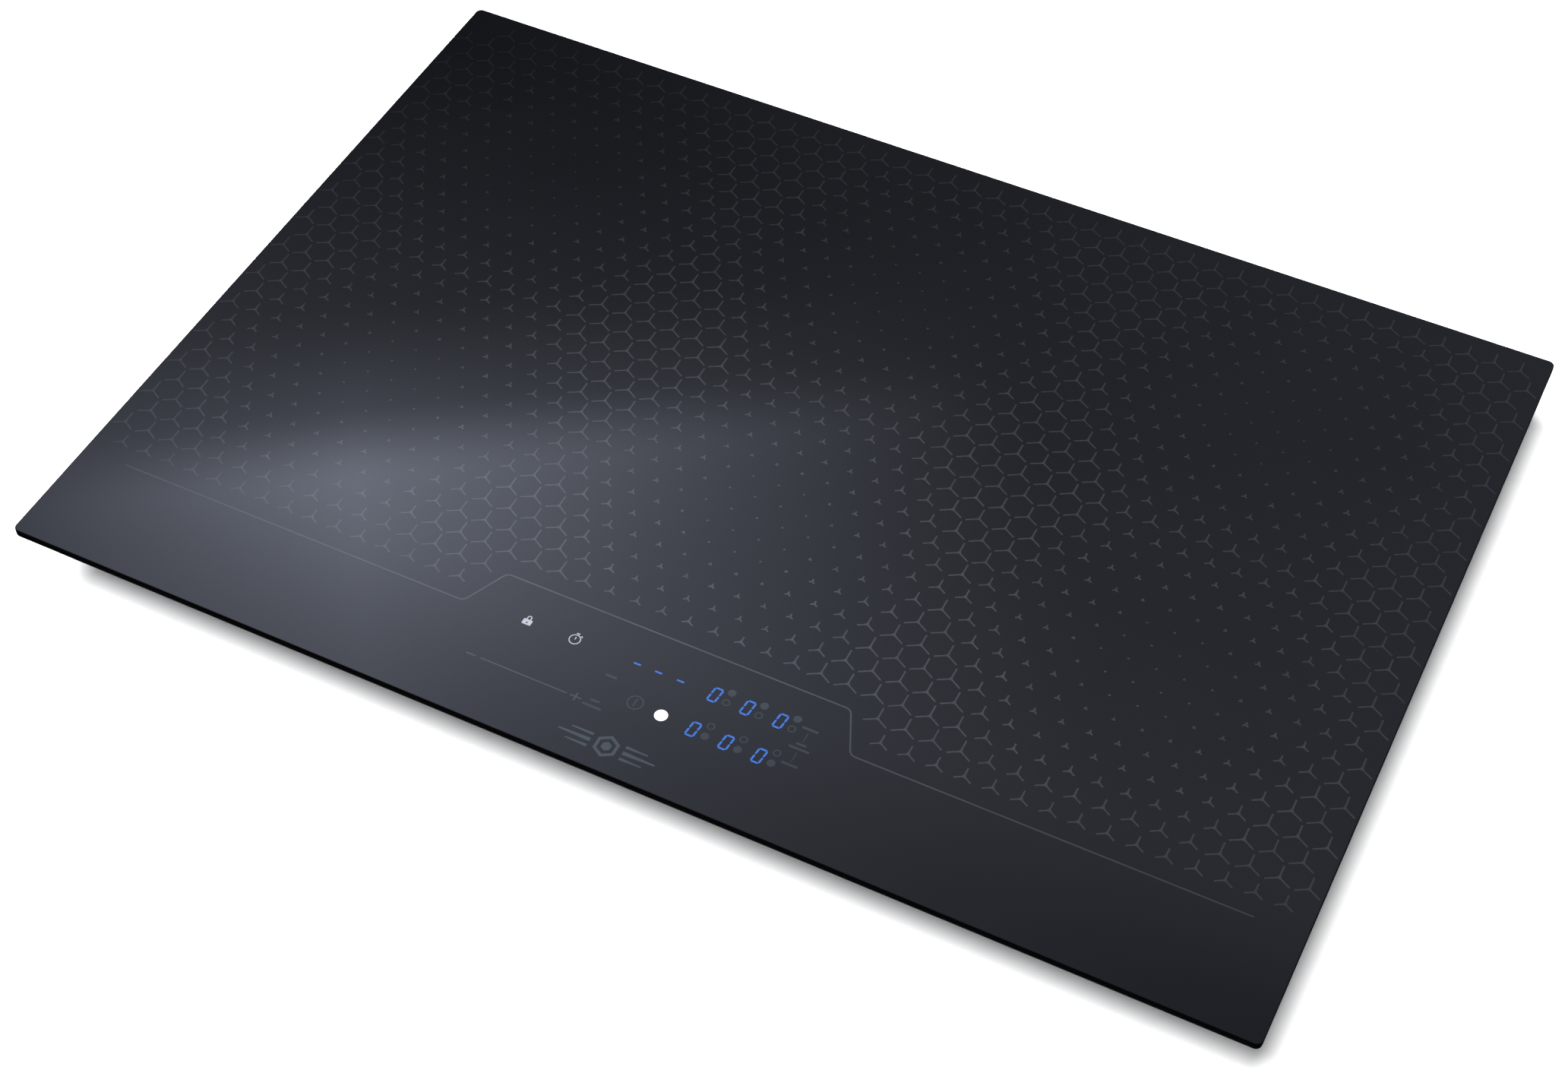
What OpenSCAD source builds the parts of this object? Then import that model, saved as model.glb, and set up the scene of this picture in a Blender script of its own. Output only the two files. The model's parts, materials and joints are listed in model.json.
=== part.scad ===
// Electric induction cooktop: a black glass top over a shallow steel pan that hangs in a worktop
// cut-out. Six coils lie under the glass in three columns and two rows. Two power boards, each
// cooled by its own blower, lie on the pan floor, and a touch control sits behind the front edge.
// +X is right, +Y is the back and +Z is up. The origin is on the pan floor's underside, midway.

/* [Glass] */
// Width of the glass, left to right
glass_w = 781; // [778:1:790]
// Depth of the glass, front to back
glass_d = 544.5; // [542:0.5:552]
// Thickness of the glass
glass_t = 4; // [4:0.5:6]
// Radius of the glass corners
glass_r = 4; // [3:1:12]
// Thickness of the foam seal and of the glue bead
seal_t = 1.2; // [1:0.1:2]
// Width of the foam seal under the glass rim
seal_w = 16; // [12:1:17]

/* [Pan] */
// Width of the steel pan
pan_w = 712; // [711:0.5:714]
// Depth of the steel pan
pan_d = 482; // [481:0.5:484]
// Height from the pan's underside to the worktop's surface
pan_h = 50; // [50:1:60]
// Thickness of the pan's sheet steel
sheet_t = 1; // [0.8:0.1:1]
// How far the frame's flange reaches past the pan
flange_out = 6; // [5:0.5:7]
// Height of the frame's leg inside the pan
leg_h = 9; // [9:1:10]
// Width of a ventilation slot
slot_w = 3; // [2:0.5:3.5]

/* [Coils] */
// Distance between the columns of coils
column_pitch = 254; // [252:0.5:254]
// Distance between the rows of coils
row_pitch = 205.4; // [204:0.2:206]
// Distance from the middle of the glass back to the rear row of coils
rear_row_y = 137.6; // [136:0.2:138]
// Outer radius of a coil's plastic carrier
carrier_r = 98; // [95:0.5:98]
// Outer radius of a winding
winding_r = 90; // [84:1:91]
// Inner radius of a winding
winding_hole_r = 22; // [20:1:24]
// Turns in a winding
turns = 17; // [12:1:20]
// Ferrite bars under each coil
ferrites = 8; // [8:1:8]

/* [Blowers] */
// Distance of each blower from the middle, left and right
fan_x = 127; // [126:0.5:128]
// Distance of the blowers behind the middle
fan_y = 150; // [149:0.5:151]
// Outer radius of a blower's housing
fan_r = 56; // [54:0.5:56]
// Height of a blower's housing
fan_h = 26; // [24:1:26]
// Outer radius of an impeller
impeller_r = 46; // [42:1:48]
// Blades on an impeller
blades = 24; // [18:1:30]
// Radius of the spindle that an impeller turns on
spindle_r = 1.5; // [1.5:0.1:2]
// Gap between the spindle and the impeller's bore
running_gap = 0.05; // [0.02:0.01:0.08]

/* [Hold-down clamps] */
// Distance of the clamps from the middle, front and back
clamp_y = 150; // [120:5:170]
// Reach of a bracket's arm from the pan's side
clamp_reach = 26; // [24:1:28]
// Height of a bracket's arm above the pan's underside
clamp_z = 12; // [12:0.5:13]
// Radius of a clamp screw
clamp_screw_r = 3; // [2.5:0.5:3]
// Length of a clamp screw
clamp_screw_l = 22; // [20:1:24]

/* [Supply] */
// Distance of the supply conduit right of the middle
conduit_x = 270; // [268:1:272]
// Height of the supply conduit's centre
conduit_z = 22; // [21:0.5:23]
// Inner radius of the conduit connector
conduit_bore_r = 10.5; // [9:0.5:11]

/* [Hidden] */
$fn = 48;

// Heights of the stack
frame_t = 1;
glass_z = pan_h + seal_t;
insulation_t = 4;
winding_t = 6;
carrier_t = 4;
tray_t = 1.2;
winding_z = glass_z - insulation_t - winding_t;
carrier_z = winding_z - carrier_t;
tray_z = carrier_z - tray_t;
etray_t = 1.5;
post_h = 5;
board_t = 1.6;
board_z = sheet_t + etray_t + post_h;
board_top = board_z + board_t;

// Places of the coils
front_row_y = rear_row_y - row_pitch;
tray_half_w = carrier_r + 1;
tray_front_y = front_row_y - carrier_r - 4;
tray_rear_y = rear_row_y + carrier_r + 2.4;
lead_angle = 67.5;
lead_r = 60;
wire_r = 1.5;

// Places on the pan floor
inner_w = pan_w - 2 * sheet_t;
inner_d = pan_d - 2 * sheet_t;
board_x0 = 13;
board_w = 330;
board_y0 = -150;
board_d = 205;
filter_w = 124;
filter_y0 = 80;
filter_d = 150;
sink_w = 70;
sink_y0 = -140;
sink_l = 180;
sink_h = 18;
spring_x = 90;
spring_r = 5;
spring_front_y = tray_front_y + 12;
spring_rear_y = tray_rear_y - 8.4;

// Fasteners
screw_r = 2;
screw_hole_r = 2.15;
screw_head_r = 3.8;
screw_head_h = 2.2;
frame_screw_z = pan_h - 6;
front_screw_x = [-300, -100, 100, 300];
side_screw_y = [-200, 0, 200];
bracket_t = 2;
bracket_w = 40;
bracket_top = 42;
bracket_screw_dy = 12;
bracket_screw_z = 30;
weld_nut_h = 5;
clamp_x = pan_w / 2 + 18;
clamp_screw_bottom = 1;

// A rectangle about the origin with round corners
module rounded_rect(w, d, r) {
    square([w - 2 * r, d], center = true);
    square([w, d - 2 * r], center = true);
    for (sx = [-1, 1], sy = [-1, 1])
        translate([sx * (w / 2 - r), sy * (d / 2 - r)])
            circle(r = r);
}

// A flat ring between two rounded rectangles; the band is w wide
module frame_ring(outer_w, outer_d, w, h, r) {
    linear_extrude(h)
        difference() {
            rounded_rect(outer_w, outer_d, r);
            rounded_rect(outer_w - 2 * w, outer_d - 2 * w, max(r - w, 0.5));
        }
}

// A block given by its lowest and highest corners
module block(low, high) {
    translate(low)
        cube(high - low);
}

// A slot with round ends that stands along Y, about the origin
module slot_shape(l, w) {
    square([w, l - w], center = true);
    for (s = [-1, 1])
        translate([0, s * (l - w) / 2])
            circle(r = w / 2, $fn = 16);
}

// A row of slots along X
module slot_row(x0, x1, pitch, l, w) {
    for (x = [x0 : pitch : x1])
        translate([x, 0])
            slot_shape(l, w);
}

// A close-wound spring, drawn as a sleeve whose outside follows the coils
module spring(r, wire, l) {
    coils = floor(l / wire);
    step = l / coils;
    outline = [for (i = [0 : coils - 1]) each [[r - 0.4 * wire, i * step], [r, (i + 0.5) * step]]];
    rotate_extrude($fn = 24)
        polygon(concat(outline, [[r - 0.4 * wire, l], [r - wire, l], [r - wire, 0]]));
}

// A round wire through a list of points, with a slightly thicker ball at each bend
module wire(points, r) {
    bend_r = 1.1 * r;
    for (i = [0 : len(points) - 2]) {
        run = points[i + 1] - points[i];
        length = norm(run);
        translate(points[i])
            rotate([0, acos(run[2] / length), atan2(run[1], run[0])])
                cylinder(r = r, h = length, $fn = 16);
    }
    if (len(points) > 2)
        for (i = [1 : len(points) - 2])
            translate(points[i])
                sphere(r = bend_r, $fn = 16);
}

// What repeats on the left and the right, as a mirror image
module both_sides() {
    children();
    mirror([1, 0, 0])
        children();
}

// What repeats at the six coils
module at_coils() {
    for (column = [-1, 0, 1], y = [front_row_y, rear_row_y])
        translate([column * column_pitch, y, 0])
            children();
}

// A pan-head screw whose head sits on the plane z = 0 and whose shank points down
module screw(l) {
    cylinder(r = screw_head_r, h = screw_head_h);
    translate([0, 0, -l])
        cylinder(r = screw_r, h = l, $fn = 24);
}

// What repeats at the screws between the pan and the frame, with +Z pointing out of the pan
module at_frame_screws() {
    for (x = front_screw_x, s = [-1, 1])
        translate([x, s * pan_d / 2, frame_screw_z])
            rotate([s * -90, 0, 0])
                children();
    for (y = side_screw_y, s = [-1, 1])
        translate([s * pan_w / 2, y, frame_screw_z])
            rotate([0, s * 90, 0])
                children();
}

// What repeats at the screws of the hold-down brackets, with +Z pointing out of the pan
module at_bracket_screws(out) {
    for (sx = [-1, 1], sy = [-1, 1], dy = [-1, 1])
        translate([sx * (pan_w / 2 + out), sy * clamp_y + dy * bracket_screw_dy, bracket_screw_z])
            rotate([0, sx * 90, 0])
                children();
}

module glass_top() {
    color("#16171b")
        translate([0, 0, glass_z])
            linear_extrude(glass_t)
                rounded_rect(glass_w, glass_d, glass_r);
}

module worktop_seal() {
    rim = 0.2;
    color("#222222")
        translate([0, 0, pan_h])
            frame_ring(glass_w - 2 * rim, glass_d - 2 * rim, seal_w, seal_t, glass_r - rim);
}

module glass_adhesive() {
    bead_w = 5;
    color("#3a3a3c")
        translate([0, 0, pan_h])
            frame_ring(pan_w + 2 * flange_out - 2, pan_d + 2 * flange_out - 2, bead_w, seal_t, 3);
}

module glass_frame() {
    flange_w = flange_out + sheet_t + frame_t;
    color("#9fa3a6")
        difference() {
            union() {
                translate([0, 0, pan_h - frame_t])
                    frame_ring(pan_w + 2 * flange_out, pan_d + 2 * flange_out, flange_w, frame_t, 4);
                translate([0, 0, pan_h - frame_t - leg_h])
                    frame_ring(inner_w, inner_d, frame_t, leg_h + frame_t / 2, 2);
            }
            at_frame_screws()
                translate([0, 0, -10])
                    cylinder(r = screw_hole_r, h = 10, $fn = 24);
        }
}

module chassis_pan() {
    wall_h = pan_h - frame_t;
    intake_r = 33;
    color("#b9bdc0")
        difference() {
            linear_extrude(wall_h)
                rounded_rect(pan_w, pan_d, 3);
            translate([0, 0, sheet_t])
                linear_extrude(wall_h)
                    rounded_rect(inner_w, inner_d, 2);
            // Blower intakes in the floor
            both_sides()
                translate([fan_x, fan_y, -1])
                    linear_extrude(3)
                        for (x = [-28 : 7 : 28])
                            translate([x, 0])
                                slot_shape(2 * sqrt(intake_r * intake_r - x * x), slot_w);
            // Outlets in the front wall, ahead of the heatsinks
            both_sides()
                translate([0, 5 - pan_d / 2, 19])
                    rotate([90, 0, 0])
                        linear_extrude(10)
                            slot_row(fan_x - 49, fan_x + 49, 7, 22, slot_w);
            // Vents in the rear wall
            translate([0, pan_d / 2 + 5, 26])
                rotate([90, 0, 0])
                    linear_extrude(10)
                        union() {
                            slot_row(-322, -178, 8, 18, slot_w);
                            slot_row(-72, 72, 8, 18, slot_w);
                        }
            // Vents in the side walls
            both_sides()
                translate([pan_w / 2 - 5, 0, 26])
                    rotate([90, 0, 90])
                        linear_extrude(10)
                            slot_row(-72, 72, 8, 18, slot_w);
            // Hole for the supply conduit
            translate([conduit_x, pan_d / 2 - 5, conduit_z])
                rotate([-90, 0, 0])
                    cylinder(r = conduit_bore_r + 3.3, h = 10);
            at_frame_screws()
                translate([0, 0, -5])
                    cylinder(r = screw_hole_r, h = 10, $fn = 24);
            at_bracket_screws(0)
                translate([0, 0, -5])
                    cylinder(r = screw_hole_r, h = 10, $fn = 24);
        }
}

module chassis_screws() {
    color("#d0d2d4")
        at_frame_screws()
            screw(3.6);
}

module electronics_tray() {
    rim = 3;
    post_r = 4;
    color("#3d4a44")
        translate([0, 0, sheet_t])
            union() {
                both_sides()
                    block([0, board_y0 - 1, 0], [board_x0 + board_w + rim, board_y0 + board_d + 5, etray_t]);
                block([-filter_w / 2 - rim, board_y0 + board_d + 4, 0],
                    [filter_w / 2 + rim, filter_y0 + filter_d + 2, etray_t]);
                both_sides()
                    for (x = [board_x0 + 8, board_x0 + board_w / 2 + 8, board_x0 + board_w - 8],
                            y = [board_y0 + 8, board_y0 + board_d - 8])
                        translate([x, y, 0])
                            cylinder(r = post_r, h = etray_t + post_h, $fn = 24);
                both_sides()
                    for (y = [filter_y0 + 12, filter_y0 + filter_d - 10])
                        translate([filter_w / 2 - 8, y, 0])
                            cylinder(r = post_r, h = etray_t + post_h, $fn = 24);
            }
}

// The bracket at the right; the others are its mirror images
module bracket() {
    gusset_t = 2;
    arm_end = pan_w / 2 + clamp_reach;
    color("#a7abae")
        difference() {
            union() {
                block([pan_w / 2, -bracket_w / 2, clamp_z],
                    [pan_w / 2 + bracket_t, bracket_w / 2, bracket_top]);
                block([pan_w / 2, -bracket_w / 2, clamp_z], [arm_end, bracket_w / 2, clamp_z + bracket_t]);
                for (s = [-1, 1])
                    translate([pan_w / 2 + bracket_t, s * (bracket_w / 2 - gusset_t / 2), clamp_z + bracket_t])
                        rotate([90, 0, 0])
                            translate([0, 0, -gusset_t / 2])
                                linear_extrude(gusset_t)
                                    polygon([[0, 0], [9, 0], [0, 12]]);
                translate([clamp_x, 0, clamp_z + bracket_t])
                    cylinder(r = 5.77, h = weld_nut_h, $fn = 6);
            }
            translate([clamp_x, 0, clamp_z - 1])
                cylinder(r = clamp_screw_r + running_gap, h = bracket_t + weld_nut_h + 2);
            for (dy = [-1, 1])
                translate([pan_w / 2 - 1, dy * bracket_screw_dy, bracket_screw_z])
                    rotate([0, 90, 0])
                        cylinder(r = screw_hole_r, h = bracket_t + 2, $fn = 24);
        }
}

module placed_bracket(sx, sy) {
    translate([0, sy * clamp_y, 0])
        mirror([sx < 0 ? 1 : 0, 0, 0])
            bracket();
}

module bracket_screws() {
    color("#d0d2d4")
        at_bracket_screws(bracket_t)
            screw(4.4);
}

module clamp_screw(sx, sy) {
    socket_r = 1.7;
    color("#c6c9cc")
        translate([sx * clamp_x, sy * clamp_y, clamp_screw_bottom])
            difference() {
                cylinder(r = clamp_screw_r, h = clamp_screw_l);
                translate([0, 0, -1])
                    cylinder(r = socket_r, h = 4, $fn = 6);
            }
}

// One aluminium tray carries a front coil and a rear coil
module coil_tray(column) {
    lip_h = 7;
    color("#c9cccf")
        translate([column * column_pitch, 0, 0])
            difference() {
                union() {
                    block([-tray_half_w, tray_front_y, tray_z], [tray_half_w, tray_rear_y, tray_z + tray_t]);
                    for (s = [-1, 1])
                        block([s * tray_half_w - (s > 0 ? tray_t : 0), tray_front_y, tray_z - lip_h],
                            [s * tray_half_w + (s > 0 ? 0 : tray_t), tray_rear_y, tray_z]);
                }
                // A notch over the locknut
                if (column > 0)
                    translate([conduit_x - column_pitch, tray_rear_y, tray_z - 1])
                        block([-20, -5, 0], [20, 5, tray_t + 2]);
                for (y = [front_row_y, rear_row_y]) {
                    translate([0, y, tray_z - 1])
                        cylinder(r = 15, h = tray_t + 2);
                    for (s = [-1, 1])
                        translate([s * lead_r * cos(lead_angle), y - lead_r * sin(lead_angle), tray_z - 1])
                            cylinder(r = 4, h = tray_t + 2, $fn = 24);
                }
            }
}

module tray_springs() {
    color("#8d9194")
        for (column = [-1, 0, 1], s = [-1, 1], y = [spring_front_y, spring_rear_y])
            translate([column * column_pitch + s * spring_x, y, sheet_t])
                spring(spring_r, 1.4, tray_z - sheet_t);
}

module coil_carrier(column, y) {
    rim_w = 3;
    rim_h = 4;
    bar_gap = 0.3;
    color("#2b2d30")
        translate([column * column_pitch, y, carrier_z])
            difference() {
                cylinder(r = carrier_r, h = carrier_t + rim_h, $fn = 96);
                translate([0, 0, carrier_t])
                    cylinder(r = carrier_r - rim_w, h = rim_h + 1, $fn = 96);
                for (i = [0 : ferrites - 1])
                    rotate(i * 360 / ferrites)
                        block([ferrite_r0 - bar_gap, -ferrite_w / 2 - bar_gap, -1],
                            [ferrite_r0 + ferrite_l + bar_gap, ferrite_w / 2 + bar_gap, carrier_t + 1]);
                for (s = [-1, 1])
                    translate([s * lead_r * cos(lead_angle), -lead_r * sin(lead_angle), -1])
                        cylinder(r = 2.5, h = carrier_t + 2, $fn = 24);
            }
}

ferrite_r0 = 26;
ferrite_l = 60;
ferrite_w = 14;

module ferrite_bars() {
    color("#3c3b3e")
        at_coils()
            for (i = [0 : ferrites - 1])
                rotate(i * 360 / ferrites)
                    block([ferrite_r0, -ferrite_w / 2, carrier_z],
                        [ferrite_r0 + ferrite_l, ferrite_w / 2, winding_z]);
}

// A flat coil of stranded copper; its top follows the turns
module coil_winding(column, y) {
    pitch = (winding_r - winding_hole_r) / turns;
    groove = 1.2;
    top = [for (i = [0 : turns - 1]) each [
        [winding_hole_r + i * pitch, winding_t - groove],
        [winding_hole_r + (i + 0.5) * pitch, winding_t]
    ]];
    color("#b06a3b")
        translate([column * column_pitch, y, winding_z])
            rotate_extrude($fn = 96)
                polygon(concat([[winding_hole_r, 0]], top, [[winding_r, winding_t - groove], [winding_r, 0]]));
}

module coil_insulation() {
    hole_r = 10;
    color("#cfc9b8")
        at_coils()
            translate([0, 0, winding_z + winding_t])
                difference() {
                    cylinder(r = winding_r + 3, h = insulation_t, $fn = 96);
                    translate([0, 0, -1])
                        cylinder(r = hole_r, h = insulation_t + 2);
                }
}

module temperature_sensors() {
    color("#e3e1da")
        at_coils()
            translate([0, 0, winding_z]) {
                cylinder(r = 8, h = winding_t + 2);
                cylinder(r = 4, h = winding_t + insulation_t, $fn = 24);
            }
}

// The power board at the right; the left one is its mirror image
module power_board() {
    color("#2f6b45")
        difference() {
            block([board_x0, board_y0, board_z], [board_x0 + board_w, board_y0 + board_d, board_top]);
            for (x = [board_x0 + 8, board_x0 + board_w - 8], y = [board_y0 + 8, board_y0 + board_d - 8])
                translate([x, y, board_z - 1])
                    cylinder(r = 2, h = board_t + 2, $fn = 24);
        }
}

// The heatsink at the right, with fins along the air's path
module heatsink() {
    base_t = 4;
    fin_t = 1.8;
    fins = 9;
    pitch = (sink_w - fin_t) / (fins - 1);
    color("#aeb2b6")
        translate([fan_x - sink_w / 2, sink_y0, board_top])
            union() {
                cube([sink_w, sink_l, base_t]);
                for (i = [0 : fins - 1])
                    translate([i * pitch, 0, 0])
                        cube([fin_t, sink_l, sink_h]);
            }
}

// A transistor package on its three legs, flat against the heatsink's side
module transistor() {
    for (y = [-5.4, 0, 5.4])
        translate([1, y - 0.6, 0])
            cube([1, 1.2, 4]);
    translate([0, -8, 4])
        cube([5, 16, 13]);
}

module power_transistors() {
    color("#1f1f21")
        both_sides()
            for (y = [-110 : 30 : 10]) {
                translate([fan_x + sink_w / 2, y, board_top])
                    transistor();
                translate([fan_x - sink_w / 2, y, board_top])
                    mirror([1, 0, 0])
                        transistor();
            }
}

module film_capacitors() {
    color("#c8b24a")
        both_sides() {
            for (y = [-85, -35, 15])
                block([190, y - 20, board_top], [222, y + 20, board_top + 20]);
            for (y = [-95, -45, 5])
                block([286, y - 18, board_top], [328, y + 18, board_top + 22]);
            block([36, 115, board_top], [54, 155, board_top + 18]);
        }
}

module filter_chokes() {
    color("#7a4b2a") {
        both_sides()
            for (y = [-100, -50, 0])
                translate([52, y, board_top])
                    rotate_extrude()
                        translate([7, 0])
                            square([8, 13]);
        for (y = [128, 176])
            translate([0, y, board_top])
                rotate_extrude()
                    translate([9, 0])
                        square([11, 17]);
    }
}

module filter_board() {
    color("#2f6b45")
        block([-filter_w / 2, filter_y0, board_z], [filter_w / 2, filter_y0 + filter_d, board_top]);
}

fan_wall = 1.5;
fan_intake_r = 32;
hub_r = 13;
outlet_y = 72;

// The blower at the right: a drum with an outlet towards the heatsink
module fan_housing() {
    color("#26282b")
        translate([fan_x, fan_y, sheet_t])
            difference() {
                union() {
                    cylinder(r = fan_r, h = fan_h, $fn = 96);
                    block([-fan_r + 8, -outlet_y, 0], [fan_r, 0, fan_h]);
                }
                translate([0, 0, fan_wall])
                    cylinder(r = fan_r - fan_wall, h = fan_h - 2 * fan_wall, $fn = 96);
                block([-fan_r + 8 + fan_wall, -outlet_y - 1, fan_wall],
                    [fan_r - fan_wall, -1, fan_h - fan_wall]);
                // The intake is a ring crossed by three arms that hold the motor
                translate([0, 0, -1])
                    difference() {
                        cylinder(r = fan_intake_r, h = fan_wall + 2);
                        translate([0, 0, -1])
                            cylinder(r = hub_r, h = fan_wall + 4);
                        for (i = [0 : 2])
                            rotate(i * 120)
                                block([0, -3, -1], [fan_intake_r + 5, 3, fan_wall + 4]);
                    }
            }
}

impeller_z = 4;
impeller_h = 19;
cup_r = 16;
disc_t = 1.5;

// The impeller at the right: a cup over the motor, a disc and a ring of blades
module fan_impeller() {
    blade_l = 12;
    blade_t = 1.2;
    ring_h = 1.5;
    boss_r = 4;
    color("#3a3d41")
        translate([fan_x, fan_y, sheet_t + impeller_z])
            difference() {
                union() {
                    translate([0, 0, impeller_h - disc_t])
                        cylinder(r = impeller_r, h = disc_t, $fn = 72);
                    difference() {
                        translate([0, 0, 3])
                            cylinder(r = cup_r, h = impeller_h - 3);
                        translate([0, 0, 2])
                            cylinder(r = cup_r - 1.5, h = impeller_h - disc_t - 2);
                    }
                    translate([0, 0, impeller_h - disc_t - 3])
                        cylinder(r = boss_r, h = 4, $fn = 24);
                    for (i = [0 : blades - 1])
                        rotate(i * 360 / blades)
                            block([impeller_r - blade_l, -blade_t / 2, ring_h / 2],
                                [impeller_r - 0.5, blade_t / 2, impeller_h - disc_t / 2]);
                    difference() {
                        cylinder(r = impeller_r, h = ring_h, $fn = 72);
                        translate([0, 0, -1])
                            cylinder(r = impeller_r - 3, h = ring_h + 2, $fn = 72);
                    }
                }
                cylinder(r = spindle_r + running_gap, h = impeller_h - 0.8, $fn = 24);
            }
}

// The motor at the right: a round stator and the spindle
module fan_motor() {
    stator_r = 12;
    stator_h = 13;
    color("#8a5a34")
        translate([fan_x, fan_y, sheet_t + fan_wall]) {
            cylinder(r = stator_r, h = stator_h);
            cylinder(r = spindle_r, h = impeller_z + impeller_h - fan_wall - 1.2, $fn = 24);
        }
}

control_x = 128;
control_y0 = -236;
control_y1 = -183;
control_z = glass_z - 6.6 - board_t;

module control_carrier() {
    plate_t = 2;
    color("#2b2d30") {
        block([-control_x, control_y0, control_z - plate_t], [control_x, control_y1, control_z]);
        for (x = [-118, 0, 118], y = [control_y0 + 8, control_y1 - 8])
            translate([x, y, sheet_t])
                cylinder(r = 4, h = control_z - plate_t / 2 - sheet_t, $fn = 24);
    }
}

module control_board() {
    color("#1f4f63")
        block([-control_x, control_y0, control_z], [control_x, control_y1, control_z + board_t]);
}

module display_modules() {
    top = glass_z - 0.4;
    color("#15161a") {
        block([-18, -202, control_z + board_t], [22, -191, top]);
        for (x = [38, 58.5, 79])
            block([x - 6, -229, control_z + board_t], [x + 3, -190, top]);
    }
}

module touch_springs() {
    keys = concat(
        [[-83, -197], [-52, -197], [0, -222]],
        [for (i = [0 : 6]) [-98 + i * 10, -231]],
        [for (x = [46, 66.5, 87], y = [-194, -222]) [x, y]]
    );
    color("#b8bbbe")
        for (k = keys)
            translate([k[0], k[1], control_z + board_t])
                spring(3, 1.1, glass_z - control_z - board_t);
}

module ribbon_cable() {
    t = 0.8;
    drop_y = control_y1 + 5;
    end_y = board_y0 + 8;
    board_top_front = control_z + board_t;
    color("#9a9da1")
        translate([-60, 0, 0])
            rotate([90, 0, 90])
                linear_extrude(20)
                    polygon([
                        [control_y1 - 4, board_top_front], [drop_y - t, board_top_front],
                        [drop_y - t, board_top + 3], [end_y, board_top + 3], [end_y, board_top],
                        [end_y + 6, board_top], [end_y + 6, board_top + 4], [drop_y, board_top + 3 + t],
                        [drop_y, board_top_front + t], [control_y1 - 4, board_top_front + t]
                    ]);
}

terminal_y0 = 186;
terminal_y1 = 224;

module terminal_block() {
    poles = 4;
    pole_w = 20;
    color("#e4e0d2")
        difference() {
            block([conduit_x - 40, terminal_y0, sheet_t], [conduit_x + 40, terminal_y1, sheet_t + 20]);
            for (i = [0 : poles - 1])
                translate([conduit_x - 40 + pole_w / 2 + i * pole_w, terminal_y1 - 9, sheet_t + 12])
                    cylinder(r = 5, h = 10, $fn = 24);
        }
}

module terminal_cover() {
    wall = 1.5;
    low = [conduit_x - 48, terminal_y0 - 8, sheet_t];
    high = [conduit_x + 48, terminal_y1 + 7, sheet_t + 32.5];
    color("#55585c")
        difference() {
            block(low, high);
            block([low[0] + wall, low[1] + wall, low[2] - 1], [high[0] - wall, high[1] - wall, high[2] - wall]);
            block([low[0] - 1, terminal_y0 + 20, sheet_t + 8], [low[0] + 3, terminal_y1, sheet_t + 18]);
            translate([conduit_x, high[1] + 1, conduit_z])
                rotate([90, 0, 0])
                    cylinder(r = 9, h = wall + 2);
        }
}

// The connector that grips the supply conduit at the rear wall
module conduit_connector() {
    color("#b3b6b9")
        translate([conduit_x, 0, conduit_z])
            rotate([-90, 0, 0])
                difference() {
                    union() {
                        translate([0, 0, pan_d / 2 - 8])
                            cylinder(r = conduit_bore_r + 2.7, h = 10);
                        translate([0, 0, pan_d / 2])
                            cylinder(r = 17, h = 4);
                        translate([0, 0, pan_d / 2 + 2])
                            cylinder(r = 14.5, h = 19);
                    }
                    translate([0, 0, pan_d / 2 - 9])
                        cylinder(r = conduit_bore_r, h = 40);
                }
}

module conduit_locknut() {
    color("#c6c9cc")
        translate([conduit_x, pan_d / 2 - sheet_t, conduit_z])
            rotate([90, 0, 0])
                difference() {
                    cylinder(r = 17.5, h = 3.6, $fn = 8);
                    translate([0, 0, -1])
                        cylinder(r = conduit_bore_r + 2.8, h = 6);
                }
}

// Leads from the coils to the power boards, and the mains wires
module wiring() {
    run_z = board_top + 5;
    lead_x = lead_r * cos(lead_angle);
    lead_back = lead_r * sin(lead_angle);
    color("#a33327") {
        for (column = [-1, 0, 1], s = [-1, 1]) {
            x = column * column_pitch + s * lead_x;
            wire([[x, front_row_y - lead_back, board_top], [x, front_row_y - lead_back, winding_z]], wire_r);
            wire([
                [x, rear_row_y - lead_back, winding_z], [x, rear_row_y - lead_back, run_z + 8],
                [x, 46, run_z + 8], [x, 46, board_top]
            ], wire_r);
        }
        for (y = [211, 215.5, 220])
            wire([[conduit_x - 40, y, run_z], [56, y, run_z], [56, y, board_top]], wire_r);
        both_sides()
            for (x = [31, 41])
                wire([[x, 90, board_top], [x, 90, run_z], [x, 38, run_z], [x, 38, board_top]], wire_r);
    }
}

glass_top();
worktop_seal();
glass_adhesive();
glass_frame();
chassis_pan();
chassis_screws();
electronics_tray();
placed_bracket(-1, -1);  // bracket_front_left
placed_bracket(1, -1);  // bracket_front_right
placed_bracket(-1, 1);  // bracket_rear_left
placed_bracket(1, 1);  // bracket_rear_right
bracket_screws();
clamp_screw(-1, -1);  // clamp_screw_front_left
clamp_screw(1, -1);  // clamp_screw_front_right
clamp_screw(-1, 1);  // clamp_screw_rear_left
clamp_screw(1, 1);  // clamp_screw_rear_right
coil_tray(-1);  // coil_tray_left
coil_tray(0);  // coil_tray_centre
coil_tray(1);  // coil_tray_right
tray_springs();
coil_carrier(-1, front_row_y);  // coil_carrier_front_left
coil_carrier(0, front_row_y);  // coil_carrier_front_centre
coil_carrier(1, front_row_y);  // coil_carrier_front_right
coil_carrier(-1, rear_row_y);  // coil_carrier_rear_left
coil_carrier(0, rear_row_y);  // coil_carrier_rear_centre
coil_carrier(1, rear_row_y);  // coil_carrier_rear_right
coil_winding(-1, front_row_y);  // coil_winding_front_left
coil_winding(0, front_row_y);  // coil_winding_front_centre
coil_winding(1, front_row_y);  // coil_winding_front_right
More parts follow.
